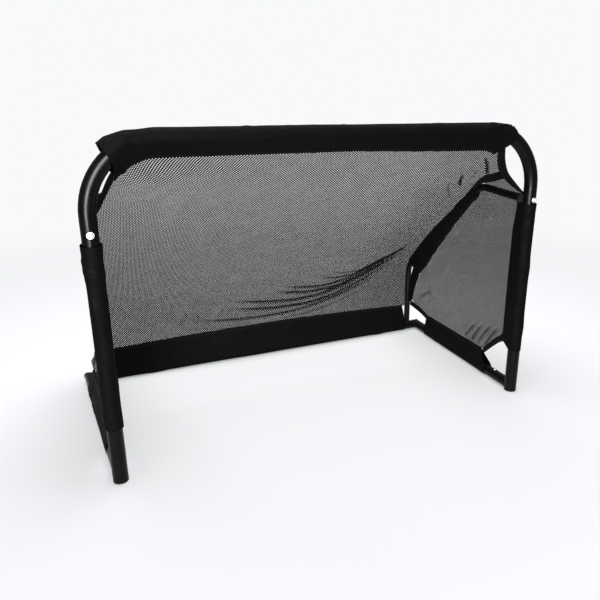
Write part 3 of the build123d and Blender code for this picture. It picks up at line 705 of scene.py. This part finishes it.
def back_folds():
    """Lines in metres right of mid-width and share of the way down, each with its depth."""
    folds = []
    for k in range(SHOULDER_FOLDS):
        start = (0.45 - 0.015 * k, 0.03 + 0.05 * k)
        end = (0.54, 0.20 + 0.07 * k)
        folds.append((fold_line(start, end, (-0.01, 0)), 0.006 if k % 2 else 0.011))
    for k in range(SWAGS):
        low = k / (SWAGS - 1)
        start = (0.15 - 0.60 * low + 0.06 * (k % 2), 0.70 + 0.25 * low)
        end = (0.54, 0.62 + 0.24 * low)
        deep = 0.006 + 0.006 * math.sin(math.pi * low)
        folds.append((fold_line(start, end, (0, 0.12 - 0.06 * low)), deep))
    return folds


def side_folds():
    """Lines in metres behind the post and metres up, each with its depth."""
    folds = []
    for k in range(CORNER_FOLDS):
        start = (0.25 - 0.035 * k, 0.085)
        end = (0.19 - 0.04 * k, 0.16 + 0.01 * k)
        folds.append((fold_line(start, end, (0, 0)), 0.0065))
    folds.append((fold_line((0.54, 0.15), (0.45, 0.20), (0, 0)), 0.005))
    return folds


NET_TUCK = 0.003               # how far a net runs in under the sleeve beside it
LEFT_NET_WRAP = 43             # degrees round each top bend that the back net is sewn on for
RIGHT_NET_WRAP = 25
BACK_PINCH_DEEP = 0.009        # a fold this deep pinches the back net's holes fully
SIDE_PINCH_DEEP = 0.012
RIGHT_PINCH = 0.17             # the back net is gathered this much towards its right end


def back_net():
    rows, columns = 230, 300
    lean_y, lean_z = math.sin(CROSSBAR_LEAN), math.cos(CROSSBAR_LEAN)
    reach = CROSSBAR_REACH - NET_TUCK

    def seam_point(s):
        centre, out = hoop_line(np.array([s]))
        return centre[0] - out[0] * reach * lean_z + np.array([0, reach * lean_y, 0])

    hem_z = REAR.z + REAR_REACH * math.cos(REAR_LEAN) - NET_TUCK
    hem_y = REAR.y - REAR_REACH * math.sin(REAR_LEAN)

    def edge(side, wrap, tip):
        start = seam_point(side * (BAR_END + HOOP_BEND_R * math.radians(wrap)))
        rest = [
            (side * tip[0], POST.y + tip[1], tip[2]),
            (side * 0.562, POST.y + 0.130, 0.646),
            (side * arm_x(0.210), POST.y + 0.222, SHOULDER[1] + 0.016),
            (side * arm_x(0.33), POST.y + 0.344, 0.511),
            (side * arm_x(0.47), POST.y + 0.484, 0.387),
            (side * arm_x(0.58), POST.y + 0.600, 0.279),
            (side * arm_x(0.60), POST.y + 0.608, 0.215),
            (side * (REAR_HALF + 0.006), hem_y + 0.003, hem_z + 0.008),
        ]
        return smooth_line([start, *rest], rows)

    right = edge(1, RIGHT_NET_WRAP, (0.528, 0.050, 0.677))
    left = edge(-1, LEFT_NET_WRAP, (0.538, 0.048, 0.676))
    middle_line = smooth_line([
        (0, POST.y + reach * lean_y, BAR_Z - reach * lean_z),
        (0, POST.y + 0.095, 0.672),
        (0, POST.y + 0.190, 0.590),
        (0, POST.y + 0.380, 0.405),
        (0, POST.y + 0.560, 0.220),
        (0, hem_y, hem_z + REAR_LIFT),
    ], rows)
    u = np.linspace(-1, 1, columns)[None, :, None]
    v = np.linspace(0, 1, rows)[:, None]
    edge_line = np.where(u < 0, left[:, None], right[:, None])
    share = np.abs(u)
    power = 2.4 + 4.0 * np.exp(-(v / 0.06) ** 2)[..., None]
    grid = middle_line[:, None] + (edge_line - middle_line[:, None]) * share ** power
    grid[..., 0] = edge_line[..., 0] * share[..., 0]
    top_s = np.linspace(-(BAR_END + HOOP_BEND_R * math.radians(LEFT_NET_WRAP)),
                        BAR_END + HOOP_BEND_R * math.radians(RIGHT_NET_WRAP), columns)
    top = np.stack([seam_point(s) for s in top_s])
    pull = np.exp(-(v / 0.05) ** 2)[..., None] * (1 - v)[..., None]
    grid = grid + (top[None] - grid[:1]) * pull
    low_share = np.exp(-((1 - v) / 0.05) ** 2)[..., None]
    low_x = np.linspace(-(REAR_HALF + 0.006), REAR_HALF + 0.006, columns)
    low = np.stack([low_x, np.full(columns, hem_y),
                    hem_z + REAR_LIFT * (1 - (low_x / REAR_HALF) ** 2)], axis=-1)
    grid = grid + (low[None] - grid[-1:]) * low_share

    across, down = cloth_lengths(grid)
    across = across - across[:, columns // 2:columns // 2 + 1]
    long = float(down[-1].mean())
    calm = ease(v / 0.05) * ease((1 - v) / 0.02)
    folds = 0.0030 * drift(across * 4, down * 4, 51.0) * calm
    low_part = ease((down / long - 0.55) / 0.3)
    folds = folds + 0.0035 * low_part * creases(across * 2.2 + down * 3, down * 7 - across * 1.2, 55.0)
    pleats = np.zeros(across.shape)
    for line, deep in back_folds():
        pleats = pleats + pleat(across, down, line * (1, long), deep, FOLD_WIDTH) * calm
    folds = folds + pleats
    pinch = np.clip(pleats / BACK_PINCH_DEEP, 0, 1) ** 2
    pinch = np.maximum(pinch, RIGHT_PINCH * ease((across - 0.20) / 0.28))
    side_hold = 1 - ease((np.abs(u[..., 0]) - 0.97) / 0.03)
    grid = grid + grid_normals(grid) * (folds * side_hold)[..., None]
    piece = cloth_mesh("back_netting", grid, NET, ["back_net"],
                       np.stack([across, down], axis=-1), thick=0, pinch=pinch)
    piece.visible_shadow = False
    declare_sheet(grid)
    return piece


def side_net(side, seed):
    rows, columns = 170, 170
    front_y, rear_y = POST_REACH - 0.014, PANEL_TIP[0] + 0.004
    y = np.linspace(front_y, rear_y, columns)
    steps = np.linspace(0, ARM_SLEEVE_LOW - 0.024, 30)
    seam = np.array([on_slope(a, seam_off(a) - NET_TUCK) for a in steps])
    hem_mid = (seam[-1] + np.array(PANEL_TIP)) / 2
    high_y = np.concatenate([[front_y, SHOULDER[0] - 0.02], seam[1:, 0],
                             [hem_mid[0], PANEL_TIP[0], rear_y + 0.01]])
    arm_low = BOLT_Z - ARM_R + 0.004
    high_z = np.concatenate([[arm_low + 0.004, arm_low + 0.016], seam[1:, 1] + 0.007,
                             [hem_mid[1] + 0.022, PANEL_TIP[1] + 0.016, PANEL_TIP[1]]])
    top = np.interp(y, high_y, high_z)
    rail_top = REAR.z + RAIL_REACH - NET_TUCK
    low_y = [front_y, RAIL_FRONT_TOP, RAIL_BACK, rear_y + 0.01]
    low_z = [0.150, rail_top, rail_top - 0.002, 0.084]
    bottom = np.interp(y, low_y, low_z)
    t = np.linspace(0, 1, rows)[:, None]
    z = top + (bottom - top) * t
    rail_x = POST.x + BASE_SPLAY * y / DEPTH - RAIL_REACH * math.sin(RAIL_LEAN)
    from_post = ease((y - front_y) / (RAIL_FRONT_TOP - front_y))
    rail_x = np.where(y < RAIL_FRONT_TOP, POST.x + (rail_x - POST.x) * from_post, rail_x)
    x = arm_x(y) + (rail_x - arm_x(y)) * t ** 1.2
    grid = np.stack([x, POST.y + y * np.ones_like(z), z], axis=-1)
    pleats = np.zeros(z.shape)
    for line, deep in side_folds():
        pleats = pleats + pleat(y * np.ones_like(z), z, line, deep, FOLD_WIDTH)
    folds = 0.0028 * drift(y * 5 * np.ones_like(z), z * 5, seed) + pleats
    pinch = np.clip(pleats / SIDE_PINCH_DEEP, 0, 1)
    hold = ease(t / 0.03) * ease((1 - t) / 0.03) * ease((y - front_y) / 0.02)
    grid = grid + grid_normals(grid) * (folds * hold)[..., None]
    flat_uv = np.stack([y * np.ones_like(z), z], axis=-1)
    if side == "left":
        grid, flat_uv, pinch = mirrored(grid), flat_uv[:, ::-1], pinch[:, ::-1]
    piece = cloth_mesh(f"{side}_side_netting", grid, SIDE_NET, [f"{side}_side_net"], flat_uv,
                       thick=0, pinch=pinch)
    declare_sheet(grid)
    return piece


def gusset(side, tip, foot, material, seed):
    """The small net between the arm's level run and the shoulder tape."""
    rows, columns = 40, 34
    ridge = (arm_x(0.205), 0.205, SHOULDER[1] + 0.012)
    upper = [tip, tuple((np.array(tip) + np.array(ridge)) / 2 - np.array([0, 0, 0.004])), ridge]
    lower = [foot, (arm_x(0.12) - 0.002, 0.120, BOLT_Z + 0.010), ridge]
    a, b = smooth_line(upper, columns), smooth_line(lower, columns)
    t = np.linspace(0, 1, rows)[:, None, None]
    grid = a[None] + (b - a)[None] * t
    grid[..., 1] += POST.y
    cross = np.linspace(0, 1, columns)[None, :] * np.ones((rows, 1))
    down = t[..., 0] * 3
    folds = 0.004 * drift(cross * 2, down, seed) + 0.004 * creases(down + cross, cross * 1.2, seed + 1)
    return panel(f"{side}_gusset", [f"{side}_shoulder_net"], grid, material, folds, thick=0,
                 flip=side == "left")


# --------------------------------------------------------------------------------- tapes
def tape(name, replaces, first, second, folds_deep, seed):
    """A strip of binding between two edge lines, in place already."""
    length = float(np.linalg.norm(np.diff(np.array(first), axis=0), axis=1).sum())
    rows = max(24, int(length / 0.004))
    grid = strip_between(first, second, rows, 9)
    grid[..., 1] += POST.y
    u, v = cloth_lengths(grid)
    folds = folds_deep * drift(v * 20, u * 30, seed)
    grid = grid + grid_normals(grid) * folds[..., None]
    piece = cloth_mesh(name, grid, TAPE, replaces, np.stack([v, u], axis=-1), thick=0.0014)
    declare_sheet(grid)
    return piece


def flipped(side, points):
    return [(-x if side == "left" else x, y, z) for x, y, z in points]


def make_tapes(side, top_outer, top_inner, tip, seed):
    tape(f"{side}_top_tape", [f"{side}_top_binding"], flipped(side, top_outer),
         flipped(side, top_inner), 0.0012, seed)
    first = [tip, (0.558, 0.130, 0.655), (arm_x(0.21) - 0.003, 0.213, SHOULDER[1] + 0.023),
             (arm_x(0.30) - 0.004, 0.306, SHOULDER[1] - 0.063)]
    second = [(tip[0] + 0.013, tip[1] - 0.002, tip[2] - 0.022), (0.556, 0.130, 0.630),
              (arm_x(0.20) - 0.0145, 0.204, SHOULDER[1] + 0.002),
              (arm_x(0.30) - 0.0155, 0.296, SHOULDER[1] - 0.075)]
    tape(f"{side}_shoulder_strap", [f"{side}_shoulder_tape"], flipped(side, first),
         flipped(side, second), 0.0015, seed + 1)
    lower = [(POST.x, POST_REACH - 0.006, 0.150), (POST.x, 0.094, 0.111),
             (POST.x + 0.001, RAIL_FRONT_TOP - 0.010, 0.066)]
    upper = [(x + 0.001, y + 0.003, z + TAPE_WIDTH + 0.002) for x, y, z in lower]
    tape(f"{side}_front_tape", [f"{side}_front_binding"], flipped(side, upper),
         flipped(side, lower), 0.0010, seed + 2)
    rail_x = POST.x + BASE_SPLAY * RAIL_BACK / DEPTH - RAIL_REACH * math.sin(RAIL_LEAN)
    low = [(rail_x, RAIL_BACK - 0.006, 0.064), (rail_x - 0.006, 0.548, 0.083),
           (arm_x(0.575) + 0.002, 0.582, 0.108)]
    high = [(x, y - 0.004, z + TAPE_WIDTH) for x, y, z in low]
    tape(f"{side}_rear_tape", [f"{side}_rear_binding"], flipped(side, high),
         flipped(side, low), 0.0010, seed + 3)


crossbar_sleeve()
for side, top, bottom, flare, seed in (("left", 0.568, 0.142, 0.0024, 61.0),
                                       ("right", 0.580, 0.136, 0.0002, 71.0)):
    post_sleeve(side, top, bottom, flare, seed)
    rail_sleeve(side, seed + 1)
    arm_sleeve(side, seed + 2)
    corner_panel(side, seed + 3)
rear_sleeve()
back_net()
for side, seed in (("left", 81.0), ("right", 91.0)):
    side_net(side, seed)

RIGHT_TIP = (0.528, 0.050, 0.672)
LEFT_TIP = (0.540, 0.046, 0.672)
gusset("right", (0.532, 0.052, 0.668), (POST.x - 0.003, 0.024, BOLT_Z + 0.012), SIDE_NET, 101.0)
gusset("left", (0.514, 0.042, 0.712), (POST.x - 0.004, 0.030, BOLT_Z + 0.014), TIGHT_NET, 111.0)
make_tapes("right",
           [(0.492, 0.012, 0.738), (0.504, 0.022, 0.702), (0.524, 0.030, 0.668),
            (0.552, 0.026, 0.636), (0.580, 0.020, 0.608)],
           [(0.477, 0.024, 0.730), (0.492, 0.040, 0.697), (0.513, 0.050, 0.664),
            (0.546, 0.040, 0.630), (0.579, 0.027, 0.605)],
           RIGHT_TIP, 121.0)
make_tapes("left",
           [(0.524, 0.012, 0.718), (0.537, 0.022, 0.696), (0.550, 0.026, 0.669),
            (0.565, 0.022, 0.641), (0.582, 0.020, 0.612)],
           [(0.512, 0.020, 0.711), (0.525, 0.036, 0.690), (0.539, 0.042, 0.663),
            (0.556, 0.038, 0.635), (0.580, 0.032, 0.608)],
           LEFT_TIP, 131.0)


# -------------------------------------------------------------------- studio and camera
FLOOR_Z = -0.0005              # just under the foot caps
FLOOR_GLOW = 0.37              # keeps the floor near white, as the photo has it
FADE_START, FADE_END = 0.9, 3.5
WORLD_LIGHT = 0.34             # the background as a light; the camera sees it at full strength
CAMERA_PLACE = (-0.6196, -1.5732, 0.8250)
CAMERA_PAN, CAMERA_TILT, CAMERA_ROLL = -0.408, -0.308, -0.007


def studio_floor():
    mesh = bpy.data.meshes.new("floor")
    rings, spokes, far = 24, 64, 7.0
    points = [(0.0, 0.0, FLOOR_Z)]
    for k in range(1, rings + 1):
        r = far * (k / rings) ** 1.5
        for a in np.linspace(0, 2 * math.pi, spokes, endpoint=False):
            points.append((r * math.cos(a), r * math.sin(a), FLOOR_Z))
    faces = [(0, 1 + k, 1 + (k + 1) % spokes) for k in range(spokes)]
    for ring in range(rings - 1):
        first, second = 1 + ring * spokes, 1 + (ring + 1) * spokes
        for k in range(spokes):
            n = (k + 1) % spokes
            faces.append((first + k, second + k, second + n, first + n))
    mesh.from_pydata(points, [], faces)
    p = Paint("studio_floor", Roughness=0.9, Specular_IOR_Level=0.0, Emission_Strength=FLOOR_GLOW)
    p.shader.inputs["Emission Color"].default_value = (0.950, 0.990, 1.0, 1)
    where = p.coords("Object")
    p.set("Base Color", p.tint(p.noise(where, 3.0), (0.508, 0.502, 0.515), (0.516, 0.510, 0.523)))
    far_off = p.add("ShaderNodeVectorMath", {0: where}, operation="LENGTH").outputs["Value"]
    fade = p.add("ShaderNodeMapRange", {
        "Value": far_off, "From Min": FADE_START, "From Max": FADE_END, "To Min": 1.0, "To Max": 0.0,
    }, interpolation_type="SMOOTHERSTEP")
    p.set("Alpha", fade.outputs["Result"])
    mesh.materials.append(p.material)
    floor = bpy.data.objects.new("floor", mesh)
    bpy.context.scene.collection.objects.link(floor)


def studio_world():
    world = bpy.data.worlds.new("studio")
    world.use_nodes = True
    tree = world.node_tree
    background = tree.nodes["Background"]
    background.inputs["Color"].default_value = (0.939, 0.947, 0.965, 1)
    path = tree.nodes.new("ShaderNodeLightPath")
    strength = tree.nodes.new("ShaderNodeMapRange")
    strength.inputs["To Min"].default_value = WORLD_LIGHT
    strength.inputs["To Max"].default_value = 1.0
    tree.links.new(path.outputs["Is Camera Ray"], strength.inputs["Value"])
    tree.links.new(strength.outputs["Result"], background.inputs["Strength"])
    bpy.context.scene.world = world


def area_light(name, place, target, size, power):
    lamp = bpy.data.lights.new(name, "AREA")
    lamp.shape = "RECTANGLE"
    lamp.size, lamp.size_y = size
    lamp.energy = power
    light = bpy.data.objects.new(name, lamp)
    light.location = place
    aim = Vector(target) - Vector(place)
    light.rotation_euler = aim.to_track_quat("-Z", "Y").to_euler()
    bpy.context.scene.collection.objects.link(light)
    return light


def studio_lights():
    area_light("overhead", (0.0, 0.15, 3.2), (0.0, 0.0, 0.0), (3.4, 2.8), 140)
    strip = area_light("strip", (-1.54, -2.74, 1.1), (0.0, 0.0, 0.5), (0.95, 2.2), 440)
    strip.visible_diffuse = False


def photo_camera():
    camera = bpy.data.cameras.new("camera")
    camera.lens = 34.9
    camera.sensor_width = 36.0
    camera.shift_x = -0.0313
    camera.shift_y = -0.001
    camera.clip_start = 0.05
    holder = bpy.data.objects.new("camera", camera)
    pan = Matrix.Rotation(CAMERA_PAN, 4, "Z")
    tilt = Matrix.Rotation(math.pi / 2 + CAMERA_TILT, 4, "X")
    roll = Matrix.Rotation(CAMERA_ROLL, 4, "Z")
    holder.matrix_world = Matrix.Translation(CAMERA_PLACE) @ pan @ tilt @ roll
    bpy.context.scene.collection.objects.link(holder)
    bpy.context.scene.camera = holder


studio_floor()
studio_world()
studio_lights()
photo_camera()
bpy.context.scene.view_settings.view_transform = "Standard"
